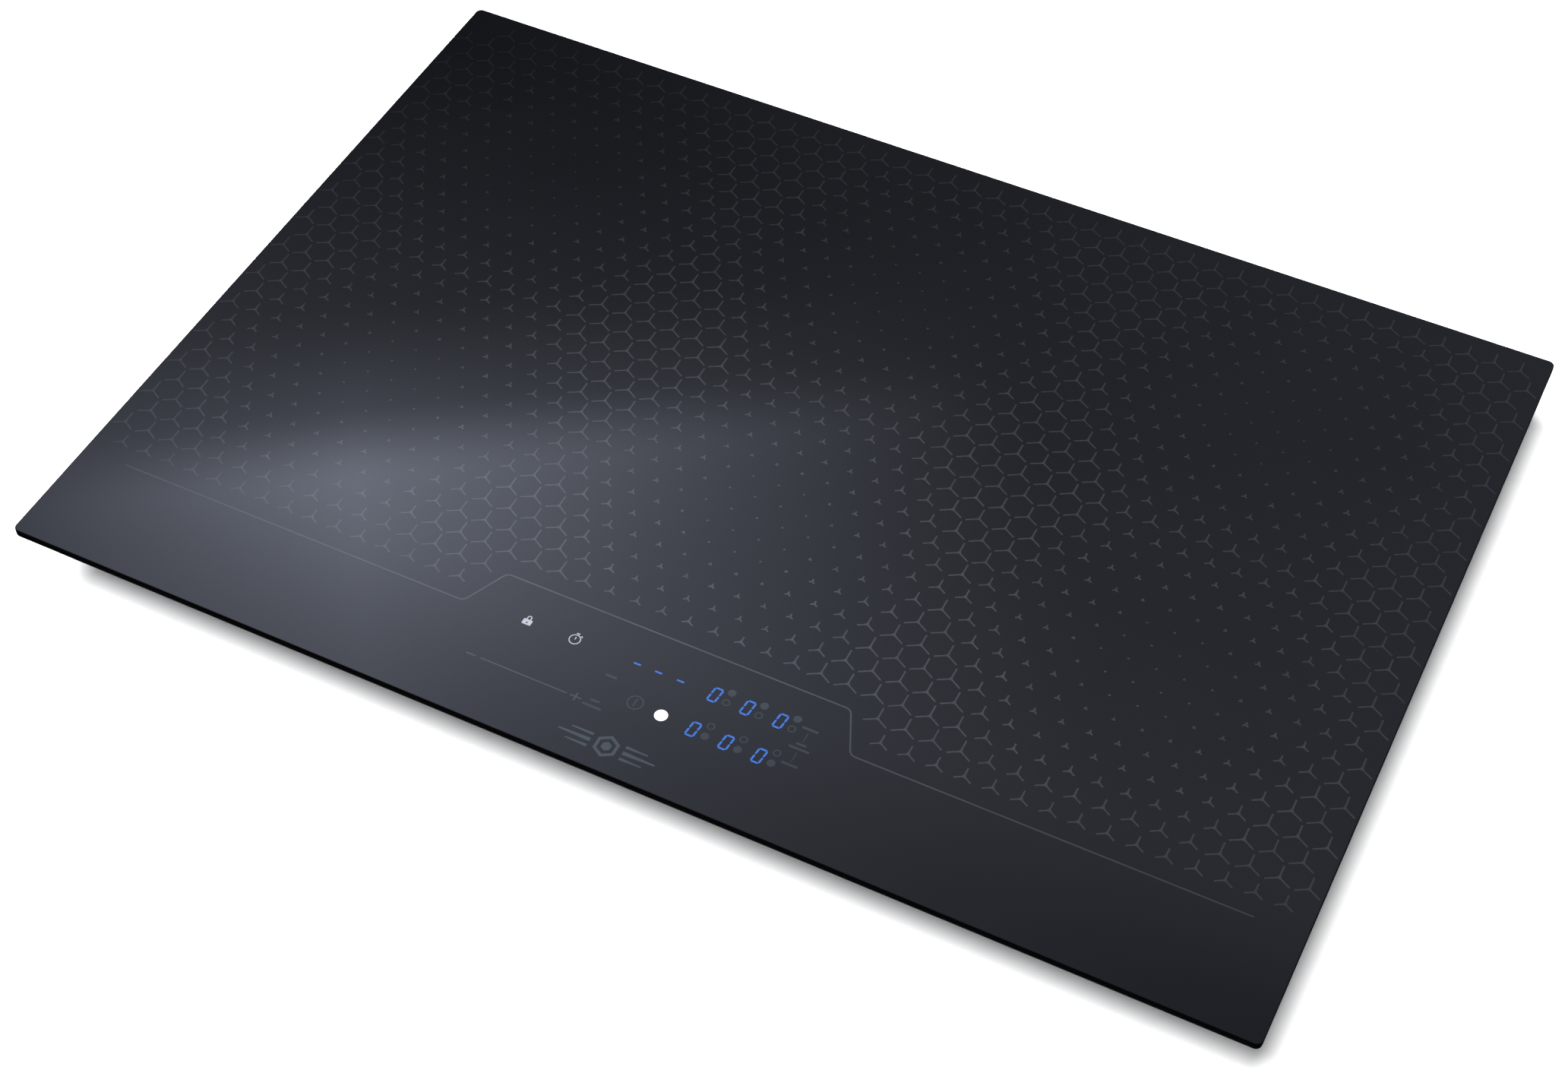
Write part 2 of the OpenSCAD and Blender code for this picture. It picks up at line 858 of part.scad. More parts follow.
coil_winding(-1, rear_row_y);  // coil_winding_rear_left
coil_winding(0, rear_row_y);  // coil_winding_rear_centre
coil_winding(1, rear_row_y);  // coil_winding_rear_right
ferrite_bars();
coil_insulation();
temperature_sensors();
mirror([1, 0, 0]) power_board();  // power_board_left
power_board();  // power_board_right
mirror([1, 0, 0]) heatsink();  // heatsink_left
heatsink();  // heatsink_right
power_transistors();
film_capacitors();
filter_chokes();
filter_board();
mirror([1, 0, 0]) fan_housing();  // fan_housing_left
fan_housing();  // fan_housing_right
mirror([1, 0, 0]) fan_impeller();  // fan_impeller_left
fan_impeller();  // fan_impeller_right
mirror([1, 0, 0]) fan_motor();  // fan_motor_left
fan_motor();  // fan_motor_right
control_carrier();
control_board();
display_modules();
touch_springs();
ribbon_cable();
terminal_block();
terminal_cover();
conduit_connector();
conduit_locknut();
wiring();
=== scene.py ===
"""An electric induction cooktop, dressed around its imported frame."""

import json
import math

import bmesh
import bpy
from mathutils import Matrix, Vector


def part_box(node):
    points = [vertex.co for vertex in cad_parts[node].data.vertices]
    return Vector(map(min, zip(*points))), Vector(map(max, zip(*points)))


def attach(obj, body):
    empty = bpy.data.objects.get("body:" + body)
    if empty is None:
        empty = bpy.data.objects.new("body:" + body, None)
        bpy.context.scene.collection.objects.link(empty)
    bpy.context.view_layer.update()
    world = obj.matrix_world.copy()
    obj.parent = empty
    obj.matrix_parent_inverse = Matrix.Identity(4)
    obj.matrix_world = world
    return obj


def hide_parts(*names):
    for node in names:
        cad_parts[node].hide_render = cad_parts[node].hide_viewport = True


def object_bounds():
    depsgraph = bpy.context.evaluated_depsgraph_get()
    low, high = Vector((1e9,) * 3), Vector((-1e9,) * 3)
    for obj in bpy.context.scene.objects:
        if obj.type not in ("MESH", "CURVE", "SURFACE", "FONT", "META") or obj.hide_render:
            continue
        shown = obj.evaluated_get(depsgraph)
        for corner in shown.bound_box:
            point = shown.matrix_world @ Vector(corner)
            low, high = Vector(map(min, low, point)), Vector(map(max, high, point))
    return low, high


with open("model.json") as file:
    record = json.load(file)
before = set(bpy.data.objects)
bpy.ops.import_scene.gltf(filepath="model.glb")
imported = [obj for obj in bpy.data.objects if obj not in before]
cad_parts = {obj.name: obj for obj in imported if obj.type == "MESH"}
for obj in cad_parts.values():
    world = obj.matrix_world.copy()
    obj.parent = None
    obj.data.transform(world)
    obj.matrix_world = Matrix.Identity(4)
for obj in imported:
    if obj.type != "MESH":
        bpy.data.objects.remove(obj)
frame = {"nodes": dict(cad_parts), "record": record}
cad_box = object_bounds()
nodes = frame["nodes"]
record = frame["record"]

MM = 0.001
glass_low, glass_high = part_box("glass_top")
GLASS_Z = glass_high.z
GLASS_WIDTH = glass_high.x - glass_low.x
FLOOR_Z = cad_box[0].z

# The camera: where it looks from, its place from the middle of the glass, and its lens
CAMERA_AZIMUTH = 25.755
CAMERA_ELEVATION = 49.317
CAMERA_ROLL = 0.621
CAMERA_PLACE = Vector((0.47897, -1.02318, 1.22813))
CAMERA_LENS = 62.805

# The studio: brightness of its upper part, and the sun overhead
SKY = 0.32
SUN_ENERGY = 8.5
SUN_WIDTH = 36
SUN_TOWARDS = Vector((-0.2, -0.28, 1.0))

# How much light the black glass reflects, and how much it scatters itself
REFLECTANCE = 0.046
DIFFUSE_PART = 0.002

# The soft box that the glass reflects: its brightness and colour, and then its places, which are
# those of its reflection on the glass: the foot of its straight edge, the ways along and across
# that edge, its brightest place along the edge, and how far its light reaches
SOFT_BOX = 0.12
BOX_COLOUR = (0.92, 1.0, 1.25, 1)
BOX_FOOT = Vector((-0.253, -0.167))
BOX_ALONG = Vector((0.829, 0.559))
BOX_ACROSS = Vector((0.56, -0.83))
BOX_PEAK = 0.03
REACH_FAR = 0.42
REACH_NEAR = 0.225
REACH_ACROSS = 0.22

# Half the glass and half the card, as reflected on the glass. The card is sky at its own rim
GLASS_HALF = Vector((0.40, 0.28))
CARD_HALF = Vector((0.62, 0.46))

# The print: its brightness, then the painted light on it: where the print is painted brightest, and how far
# from there it stays bright
ENAMEL = 0.052
PAINTED_LIGHT_PEAK = Vector((-0.06, -0.19))
PAINTED_LIGHT_REACH = Vector((0.38, 0.3))

# The print's lower face, just inside the glass, and its upper face
PRINT_LOW = GLASS_Z - 0.00002
PRINT_HIGH = GLASS_Z + 0.00004

# Star lattice, in millimetres on the glass: its spacing and the rear zones' row
STAR_PITCH = 16.94
STAR_ROW = STAR_PITCH * math.sin(math.radians(60))
REAR_ZONE_Y = 137.6
# Counted in stars: the zones' spacing, and the lattice's last rows and column
ZONE_COLUMNS = 15
ZONE_ROWS = 14
FRONT_ROW = -22
BACK_ROW = 8
LAST_COLUMN = 22
# Half the width that the control keeps clear of stars, by row
CLEAR_WIDTH = {-22: 135, -21: 127}
# Arm length by distance from a zone's middle, in stars, and the arm of all the stars beyond
STAR_ARMS = {7: 6.0, 6: 4.0, 5: 2.5, 4: 2.1, 3: 1.2}
LONGEST_ARM = 8.2
STAR_HALF_WIDTH = 0.5
STAR_FILLET = 2.6
STAR_DOT = 0.75

# Pan-head screws: radius and height of the head, radius of the shank
HEAD_RADIUS = 0.0038
HEAD_HEIGHT = 0.0022
SHANK_RADIUS = 0.002


# ---------------------------------------------------------------- materials


class Maths:
    """A number inside a node tree, so that a pattern can be written as a sum."""

    def __init__(self, tree, socket):
        self.tree = tree
        self.socket = socket

    def join(self, operation, other=None):
        made = self.tree.nodes.new("ShaderNodeMath")
        made.operation = operation
        for entry, value in zip(made.inputs, (self, other)):
            if isinstance(value, Maths):
                self.tree.links.new(value.socket, entry)
            elif value is not None:
                entry.default_value = value
        return Maths(self.tree, made.outputs[0])

    def __add__(self, other):
        return self.join("ADD", other)

    def __sub__(self, other):
        return self.join("SUBTRACT", other)

    def __rsub__(self, other):
        return self * -1.0 + other

    def __mul__(self, other):
        return self.join("MULTIPLY", other)

    def __truediv__(self, other):
        return self.join("DIVIDE", other)

    def __pow__(self, other):
        return self.join("POWER", other)

    def at_least(self, low):
        return self.join("MAXIMUM", low)

    def at_most(self, high):
        return self.join("MINIMUM", high)

    def clamp(self):
        """Kept between 0 and 1."""
        return self.at_least(0.0).at_most(1.0)

    def between(self, low, high):
        """low where this is 0, and high where it is 1."""
        return self * (high - low) + low

    def fall(self, reach=1.0):
        """1 at 0, and falling off towards 0 beyond the reach."""
        return (self / -reach).join("EXPONENT")

    def smooth(self, low, high):
        """0 below low, 1 above high, with a soft step between them."""
        made = self.tree.nodes.new("ShaderNodeMapRange")
        made.interpolation_type = "SMOOTHSTEP"
        made.inputs["From Min"].default_value = low
        made.inputs["From Max"].default_value = high
        self.tree.links.new(self.socket, made.inputs["Value"])
        return Maths(self.tree, made.outputs["Result"])


def new_material(name):
    material = bpy.data.materials.new(name)
    material.use_nodes = True
    tree = material.node_tree
    shader = tree.nodes["Principled BSDF"]
    return material, tree, shader


def place(tree, stretch=(1, 1, 1), turn=(0, 0, 0)):
    """Object coordinates, in metres, stretched and turned."""
    source = tree.nodes.new("ShaderNodeTexCoord")
    mapping = tree.nodes.new("ShaderNodeMapping")
    mapping.inputs["Scale"].default_value = stretch
    mapping.inputs["Rotation"].default_value = turn
    tree.links.new(source.outputs["Object"], mapping.inputs["Vector"])
    return mapping.outputs["Vector"]


def level_axes(tree):
    """The two level object coordinates, as numbers to work with."""
    split = tree.nodes.new("ShaderNodeSeparateXYZ")
    tree.links.new(place(tree), split.inputs["Vector"])
    return Maths(tree, split.outputs["X"]), Maths(tree, split.outputs["Y"])


def noise(tree, where, scale, detail=4.0, roughness=0.55, distortion=0.0):
    made = tree.nodes.new("ShaderNodeTexNoise")
    made.inputs["Scale"].default_value = scale
    made.inputs["Detail"].default_value = detail
    made.inputs["Roughness"].default_value = roughness
    made.inputs["Distortion"].default_value = distortion
    tree.links.new(where, made.inputs["Vector"])
    return made.outputs["Fac"]


def cells(tree, where, scale, output="Distance"):
    """Irregular cells: the distance from their middles, or a colour for each."""
    made = tree.nodes.new("ShaderNodeTexVoronoi")
    made.inputs["Scale"].default_value = scale
    tree.links.new(where, made.inputs["Vector"])
    return made.outputs[output]


def bands(tree, where, scale, distortion=0.0):
    """Parallel lines across X."""
    made = tree.nodes.new("ShaderNodeTexWave")
    made.inputs["Scale"].default_value = scale
    made.inputs["Distortion"].default_value = distortion
    tree.links.new(where, made.inputs["Vector"])
    return made.outputs["Fac"]


def ramp(tree, factor, *stops):
    """A colour ramp through (place, colour) stops."""
    made = tree.nodes.new("ShaderNodeValToRGB")
    elements = made.color_ramp.elements
    while len(elements) < len(stops):
        elements.new(0.5)
    for element, (where, colour) in zip(elements, stops):
        element.position = where
        element.color = (*colour, 1)
    tree.links.new(factor, made.inputs["Fac"])
    return made.outputs["Color"]


def paint(tree, shader, factor, *stops):
    """Base colour through (place, colour) stops, as a pattern goes from 0 to 1."""
    tree.links.new(ramp(tree, factor, *stops), shader.inputs["Base Color"])


def gloss(tree, shader, factor, low, high):
    """Roughness from low to high, as a pattern goes from 0 to 1."""
    made = tree.nodes.new("ShaderNodeMapRange")
    made.inputs["To Min"].default_value = low
    made.inputs["To Max"].default_value = high
    tree.links.new(factor, made.inputs["Value"])
    tree.links.new(made.outputs["Result"], shader.inputs["Roughness"])


def bump(tree, shader, height, distance, strength=1.0, under=None):
    made = tree.nodes.new("ShaderNodeBump")
    made.inputs["Strength"].default_value = strength
    made.inputs["Distance"].default_value = distance
    tree.links.new(height, made.inputs["Height"])
    if under is not None:
        tree.links.new(under, made.inputs["Normal"])
    tree.links.new(made.outputs["Normal"], shader.inputs["Normal"])
    return made.outputs["Normal"]


def shade(colour, factor):
    """A colour made darker or lighter."""
    return tuple(min(1.0, channel * factor) for channel in colour)


def plastic(name, colour, roughness=0.5, grain=900.0, depth=0.00004, variety=0.12):
    """Moulded plastic: a fine eroded grain, slow flow marks and a little unevenness of gloss."""
    material, tree, shader = new_material(name)
    where = place(tree)
    flow = noise(tree, where, 22.0, 3.0)
    fine = noise(tree, where, grain, 2.0)
    stops = ((0.3, shade(colour, 1 - variety)), (0.7, shade(colour, 1 + variety)))
    paint(tree, shader, flow, *stops)
    gloss(tree, shader, fine, roughness - 0.1, roughness + 0.1)
    bump(tree, shader, fine, depth, 0.6)
    return material


def metal(name, colour, roughness=0.35, stretch=(1, 1, 1), scale=160.0, variety=0.14, depth=0.00002):
    """Plated or rolled metal: fine lines along one way, cloudy gloss and handling marks."""
    material, tree, shader = new_material(name)
    shader.inputs["Metallic"].default_value = 1.0
    lines = noise(tree, place(tree, stretch), scale, 3.0)
    clouds = noise(tree, place(tree), 35.0, 4.0, 0.6, 0.4)
    stops = ((0.28, shade(colour, 1 - variety)), (0.72, shade(colour, 1 + variety)))
    paint(tree, shader, clouds, *stops)
    uneven = Maths(tree, lines) * 0.55 + Maths(tree, clouds) * 0.45
    gloss(tree, shader, uneven.socket, roughness - 0.16, roughness + 0.18)
    bump(tree, shader, lines, depth, 0.5)
    return material


def galvanised():
    """Hot-dipped sheet: zinc crystals of 4 to 10 mm, each with its own grey and gloss."""
    material, tree, shader = new_material("galvanised_steel")
    shader.inputs["Metallic"].default_value = 1.0
    where = place(tree)
    warp = noise(tree, where, 60.0, 2.0)
    shift = tree.nodes.new("ShaderNodeVectorMath")
    shift.operation = "MULTIPLY_ADD"
    shift.inputs[1].default_value = (0.012, 0.012, 0.012)
    tree.links.new(warp, shift.inputs[0])
    tree.links.new(where, shift.inputs[2])
    bent = shift.outputs["Vector"]
    split = tree.nodes.new("ShaderNodeSeparateColor")
    tree.links.new(cells(tree, bent, 130.0, output="Color"), split.inputs["Color"])
    crystal = split.outputs["Red"]
    feather = noise(tree, place(tree, (1, 1, 3)), 420.0, 3.0)
    mixed = (Maths(tree, crystal) * 0.75 + Maths(tree, feather) * 0.25).socket
    stops = ((0.1, (0.24, 0.25, 0.265)), (0.5, (0.32, 0.335, 0.35)), (0.9, (0.42, 0.435, 0.45)))
    paint(tree, shader, mixed, *stops)
    gloss(tree, shader, mixed, 0.3, 0.52)
    low = bump(tree, shader, crystal, 0.00003, 0.5)
    bump(tree, shader, feather, 0.00001, 0.4, low)
    return material


def foam():
    """Closed-cell foam: matt black with a skin of small open bubbles."""
    material, tree, shader = new_material("foam_seal")
    where = place(tree)
    bubbles = cells(tree, where, 1700.0)
    patches = noise(tree, where, 120.0, 3.0)
    stops = ((0.2, (0.002, 0.002, 0.0022)), (0.8, (0.006, 0.006, 0.0066)))
    paint(tree, shader, patches, *stops)
    gloss(tree, shader, bubbles, 0.8, 1.0)
    shader.inputs["Specular IOR Level"].default_value = 0.0
    bump(tree, shader, bubbles, 0.00025, 0.8)
    return material


def silicone():
    """A laid bead: dark, satin, with slow waves from the nozzle."""
    material, tree, shader = new_material("silicone")
    where = place(tree)
    waves = noise(tree, where, 90.0, 1.0)
    stops = ((0.3, (0.03, 0.03, 0.032)), (0.7, (0.055, 0.055, 0.058)))
    paint(tree, shader, waves, *stops)
    gloss(tree, shader, waves, 0.35, 0.5)
    bump(tree, shader, waves, 0.0004, 0.5)
    return material


def winding():
    """Stranded copper: strands that cross the turns at a slant, under a clear enamel."""
    material, tree, shader = new_material("copper")
    shader.inputs["Metallic"].default_value = 0.9
    strands = bands(tree, place(tree, turn=(0, 0, 0.6)), 420.0, distortion=3.0)
    blotch = noise(tree, place(tree), 140.0)
    stops = ((0.1, (0.3, 0.11, 0.04)), (0.6, (0.56, 0.25, 0.1)), (0.95, (0.74, 0.4, 0.2)))
    mixed = (Maths(tree, strands) * 0.6 + Maths(tree, blotch) * 0.4).socket
    paint(tree, shader, mixed, *stops)
    gloss(tree, shader, mixed, 0.25, 0.45)
    bump(tree, shader, strands, 0.0002, 0.7)
    return material


def mineral(name, dark, light, scale, roughness, metallic=0.0):
    """Sintered or pressed mineral: speckled, with a gritty face."""
    material, tree, shader = new_material(name)
    shader.inputs["Metallic"].default_value = metallic
    where = place(tree)
    specks = cells(tree, where, scale)
    dust = noise(tree, where, scale * 0.6, 5.0)
    mixed = (Maths(tree, specks) * 0.5 + Maths(tree, dust) * 0.5).socket
    paint(tree, shader, mixed, (0.2, dark), (0.7, light))
    gloss(tree, shader, dust, roughness - 0.12, roughness + 0.12)
    bump(tree, shader, specks, 0.00015, 0.5)
    return material


def circuit_board():
    """Green lacquer over copper tracks."""
    material, tree, shader = new_material("circuit_board")
    where = place(tree)
    tracks = tree.nodes.new("ShaderNodeTexBrick")
    tracks.inputs["Scale"].default_value = 60.0
    tracks.inputs["Mortar Size"].default_value = 0.06
    tracks.inputs["Brick Width"].default_value = 0.7
    tracks.inputs["Color1"].default_value = (0.018, 0.11, 0.045, 1)
    tracks.inputs["Color2"].default_value = (0.022, 0.14, 0.06, 1)
    tracks.inputs["Mortar"].default_value = (0.05, 0.24, 0.11, 1)
    tree.links.new(where, tracks.inputs["Vector"])
    tree.links.new(tracks.outputs["Color"], shader.inputs["Base Color"])
    cloudy = noise(tree, where, 200.0)
    gloss(tree, shader, cloudy, 0.22, 0.38)
    bump(tree, shader, tracks.outputs["Fac"], 0.00004, 0.6)
    return material


def ribbon():
    """Flat cable: parallel conductors under grey plastic."""
    material, tree, shader = new_material("grey_ribbon")
    cores = bands(tree, place(tree), 780.0 / math.tau)
    stops = ((0.25, (0.22, 0.22, 0.23)), (0.75, (0.4, 0.4, 0.41)))
    paint(tree, shader, cores, *stops)
    gloss(tree, shader, cores, 0.4, 0.5)
    bump(tree, shader, cores, 0.0003, 0.7)
    return material


def black_glass():
    """Glass-ceramic: near black, polished, with very faint waves from rolling."""
    material, tree, shader = new_material("glass")
    where = place(tree)
    depths = noise(tree, where, 9.0, 3.0)
    stops = ((0.3, (0.0005, 0.0005, 0.0007)), (0.7, (0.0010, 0.0010, 0.0013)))
    paint(tree, shader, depths, *stops)
    polish = noise(tree, where, 45.0, 3.0)
    gloss(tree, shader, polish, 0.035, 0.055)
    shader.inputs["IOR"].default_value = 1.5
    return material


def ground_edge():
    """The ground and sealed edge of the glass: matt, with grinding marks along it."""
    material, tree, shader = new_material("glass_ground_edge")
    marks = noise(tree, place(tree, (0.15, 0.15, 3.0)), 1500.0, 2.0)
    stops = ((0.3, (0.0004, 0.0004, 0.0005)), (0.7, (0.0012, 0.0012, 0.0014)))
    paint(tree, shader, marks, *stops)
    gloss(tree, shader, marks, 0.4, 0.6)
    shader.inputs["Specular IOR Level"].default_value = 0.0
    bump(tree, shader, marks, 0.00002, 0.4)
    return material


def enamel(name, tint, variety):
    """Fired-on print: grey enamel with the gloss of the glass. Its colour holds painted light: it is
    painted brightest in the middle of the front, darker towards the back and the left, and darker along the
    front rim."""
    material, tree, shader = new_material(name)
    x, y = level_axes(tree)
    # Painted light and shade: the print's colour is painted brightest near the front middle, brighter
    # towards the right, and painted darker along the front rim
    off_x = (x - PAINTED_LIGHT_PEAK.x) / PAINTED_LIGHT_REACH.x
    off_y = (y - PAINTED_LIGHT_PEAK.y) / PAINTED_LIGHT_REACH.y
    peak = (off_x**2.0 + off_y**2.0).fall() * 0.82
    left_to_right = (x / GLASS_WIDTH + 0.5).between(0.075, 0.3)
    front_rim = y.smooth(-0.26, -0.12).between(0.64, 1.0)
    painted_light = (peak + left_to_right) * front_rim
    where = place(tree)
    patches = noise(tree, where, 60.0, 2.0)
    grains = noise(tree, where, 1400.0, 2.0)
    mixed = (Maths(tree, patches) * 0.6 + Maths(tree, grains) * 0.4).socket
    speckle = ramp(tree, mixed, (0.3, shade(tint, 1 - variety)), (0.7, shade(tint, 1 + variety)))
    thinned = tree.nodes.new("ShaderNodeVectorMath")
    thinned.operation = "SCALE"
    tree.links.new(speckle, thinned.inputs[0])
    tree.links.new((painted_light * ENAMEL).socket, thinned.inputs["Scale"])
    tree.links.new(thinned.outputs["Vector"], shader.inputs["Base Color"])
    gloss(tree, shader, grains, 0.05, 0.09)
    shader.inputs["IOR"].default_value = 1.5
    return material


def lamp(name, colour, strength, grain=0.12):
    """A mark lit from below: light that is a little uneven, seen through smoked glass."""
    material, tree, shader = new_material(name)
    shader.inputs["Roughness"].default_value = 0.06
    where = place(tree)
    uneven = noise(tree, where, 500.0, 2.0)
    stops = ((0.2, shade(colour, 1 - grain)), (0.8, shade(colour, 1 + grain)))
    tree.links.new(ramp(tree, uneven, *stops), shader.inputs["Emission Color"])
    paint(tree, shader, uneven, (0, (0.001,) * 3), (1, (0.003,) * 3))
    shader.inputs["Emission Strength"].default_value = strength
    return material


MATERIALS = {
    "glass": black_glass(),
    "foam_seal": foam(),
    "silicone": silicone(),
    "galvanised_steel": galvanised(),
    "zinc_steel": metal("zinc_steel", (0.45, 0.46, 0.48), 0.28, (1, 1, 4), 300.0),
    "bracket_steel": metal("bracket_steel", (0.3, 0.31, 0.33), 0.36, (0.3, 3, 1), 180.0),
    "green_plastic": plastic("green_plastic", (0.045, 0.085, 0.065), 0.5),
    "aluminium": metal("aluminium", (0.72, 0.73, 0.74), 0.34, (0.2, 4, 1), 240.0, 0.08),
    "spring_steel": metal("spring_steel", (0.4, 0.41, 0.42), 0.3, (1, 1, 12), 200.0),
    "black_plastic": plastic("black_plastic", (0.022, 0.022, 0.024), 0.48),
    "impeller_plastic": plastic("impeller_plastic", (0.05, 0.052, 0.056), 0.42),
    "copper": winding(),
    "ferrite": mineral("ferrite", (0.03, 0.03, 0.033), (0.085, 0.083, 0.086), 900.0, 0.6),
    "mica": mineral("mica", (0.42, 0.37, 0.27), (0.74, 0.7, 0.6), 260.0, 0.5),
    "white_plastic": plastic("white_plastic", (0.72, 0.69, 0.6), 0.42, variety=0.06),
    "circuit_board": circuit_board(),
    "package_black": plastic("package_black", (0.015, 0.015, 0.016), 0.55, 1600.0),
    "capacitor_yellow": plastic("capacitor_yellow", (0.62, 0.42, 0.05), 0.3, 500.0, variety=0.08),
    "grey_ribbon": ribbon(),
    "grey_plastic": plastic("grey_plastic", (0.3, 0.31, 0.32), 0.45),
    "wire_red": plastic("wire_red", (0.42, 0.03, 0.025), 0.38, 700.0),
}
EDGE = ground_edge()
PRINT = enamel("star_enamel", (0.38, 0.42, 0.49), 0.3)
MARK = enamel("mark_enamel", (0.28, 0.36, 0.41), 0.15)
BORDER = enamel("border_enamel", (0.5, 0.55, 0.64), 0.15)
EMBLEM = enamel("emblem_enamel", (0.5, 0.65, 0.76), 0.12)
WHITE_LAMP = lamp("white_lamp", (0.52, 0.53, 0.62), 1.0)
BRIGHT_LAMP = lamp("bright_lamp", (1.0, 1.0, 1.0), 1.6, 0.05)
BLUE_LAMP = lamp("blue_lamp", (0.035, 0.165, 0.68), 1.0)

slot_of = {part["node"]: part["material_slot"] for part in record["subparts"]}
for name, part in nodes.items():
    part.data.materials.clear()
    part.data.materials.append(MATERIALS[slot_of[name]])


# ---------------------------------------------------------------- mesh building


class Builder:
    """Collects closed solids, and makes them one object."""

    def __init__(self):
        self.points = []
        self.faces = []
        self.kinds = []
        self.flat = []

    def add(self, face, kind):
        self.faces.append(face)
        self.kinds.append(kind)

    def wall(self, low, high, count, kind=0):
        """Faces between two rings of points, from the places where the rings start."""
        for side in range(count):
            after = (side + 1) % count
            self.add((low + side, low + after, high + after, high + side), kind)

    def loft(self, rings, kinds=None):
        """Joins rings of equal length, each to the next, and closes both ends."""
        first = len(self.points)
        count = len(rings[0])
        for ring in rings:
            self.points.extend(Vector(point) for point in ring)
        for level in range(len(rings) - 1):
            low = first + level * count
            self.wall(low, low + count, count, kinds[level] if kinds else 0)
        top = first + (len(rings) - 1) * count
        self.flat += [len(self.faces), len(self.faces) + 1]
        self.add(tuple(first + side for side in reversed(range(count))), 0)
        self.add(tuple(top + side for side in range(count)), 0)

    def band(self, outer, inner, low, high):
        """A flat ring between two outlines of equal length."""
        first = len(self.points)
        count = len(outer)
        for outline, level in ((outer, low), (outer, high), (inner, high), (inner, low)):
            self.points.extend(Vector((x, y, level)) for x, y in outline)
        for level in range(4):
            self.wall(first + level * count, first + (level + 1) % 4 * count, count)

    def plate(self, outline, low, high):
        """A flat plate with the given outline."""
        self.loft([[(x, y, low) for x, y in outline], [(x, y, high) for x, y in outline]])

    def make(self, name, *materials, body="chassis", slot="glass", sharp=35.0):
        """One object of all the solids, which rides on a body. Edges above sharp degrees stay sharp."""
        mesh = bpy.data.meshes.new(name)
        mesh.from_pydata([tuple(point) for point in self.points], [], self.faces)
        for material in materials:
            mesh.materials.append(material)
        for polygon, kind in zip(mesh.polygons, self.kinds):
            polygon.material_index = kind
        work = bmesh.new()
        work.from_mesh(mesh)
        bmesh.ops.recalc_face_normals(work, faces=work.faces)
        limit = math.radians(sharp)
        flat = set(self.flat)
        for face in work.faces:
            face.smooth = face.index not in flat
        for edge in work.edges:
            edge.smooth = edge.is_manifold and edge.calc_face_angle(0.0) < limit
        work.to_mesh(mesh)
        work.free()
        made = bpy.data.objects.new(name, mesh)
        bpy.context.scene.collection.objects.link(made)
        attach(made, body)
        return made


def arc(centre, radius, start, end, steps):
    """Points on a circle from one angle to another, in degrees."""
    points = []
    for step in range(steps + 1):
        angle = math.radians(start + (end - start) * step / steps)
        points.append((centre[0] + radius * math.cos(angle), centre[1] + radius * math.sin(angle)))
    return points


def circle(centre, radius, steps=24):
    return arc(centre, radius, 0, 360, steps)[:-1]


def round_rectangle(centre, width, depth, radius, steps=4):
    x, y = width / 2 - radius, depth / 2 - radius
    corners = ((x, y, 0), (-x, y, 90), (-x, -y, 180), (x, -y, 270))
    points = []
    for corner_x, corner_y, start in corners:
        points += arc((centre[0] + corner_x, centre[1] + corner_y), radius, start, start + 90, steps)
    return points


def round_bends(path, radius, steps=5):
    """An open path whose bends are rounded."""
    points = [path[0]]
    for before, bend, after in zip(path, path[1:], path[2:]):
        here = Vector(bend)
        to_before = (Vector(before) - here).normalized()
        to_after = (Vector(after) - here).normalized()
        half = to_before.angle(to_after) / 2
        reach = radius / math.tan(half)
        start, end = here + to_before * reach, here + to_after * reach
        for step in range(steps + 1):
            share = step / steps
            points.append(tuple(start.lerp(here, share).lerp(here.lerp(end, share), share)))
    points.append(path[-1])
    return points


def stroke(path, width):
    """The outline of a line drawn along an open path."""
    points = [Vector(point) for point in path]
    left, right = [], []
    for place_in_path, point in enumerate(points):
        ahead = points[min(place_in_path + 1, len(points) - 1)] - point
        behind = point - points[max(place_in_path - 1, 0)]
        along = (ahead.normalized() + behind.normalized()).normalized()
        side = Vector((-along.y, along.x)) * (width / 2)
        left.append(tuple(point + side))
        right.append(tuple(point - side))
    return right + left[::-1]


def scaled(outline):
    """Millimetres to metres."""
    return [(x * MM, y * MM) for x, y in outline]


def printed(builder, outline):
    """A closed patch of print on the glass, from an outline in millimetres."""
    builder.plate(scaled(outline), PRINT_LOW, PRINT_HIGH)


def printed_band(builder, outer, inner):
    """Print between two outlines in millimetres."""
    builder.band(scaled(outer), scaled(inner), PRINT_LOW, PRINT_HIGH)


def printed_ring(builder, centre, outer, width, steps=32):
    """A round ring of print, by its outer radius and its width."""
    printed_band(builder, circle(centre, outer, steps), circle(centre, outer - width, steps))


# ---------------------------------------------------------------- glass


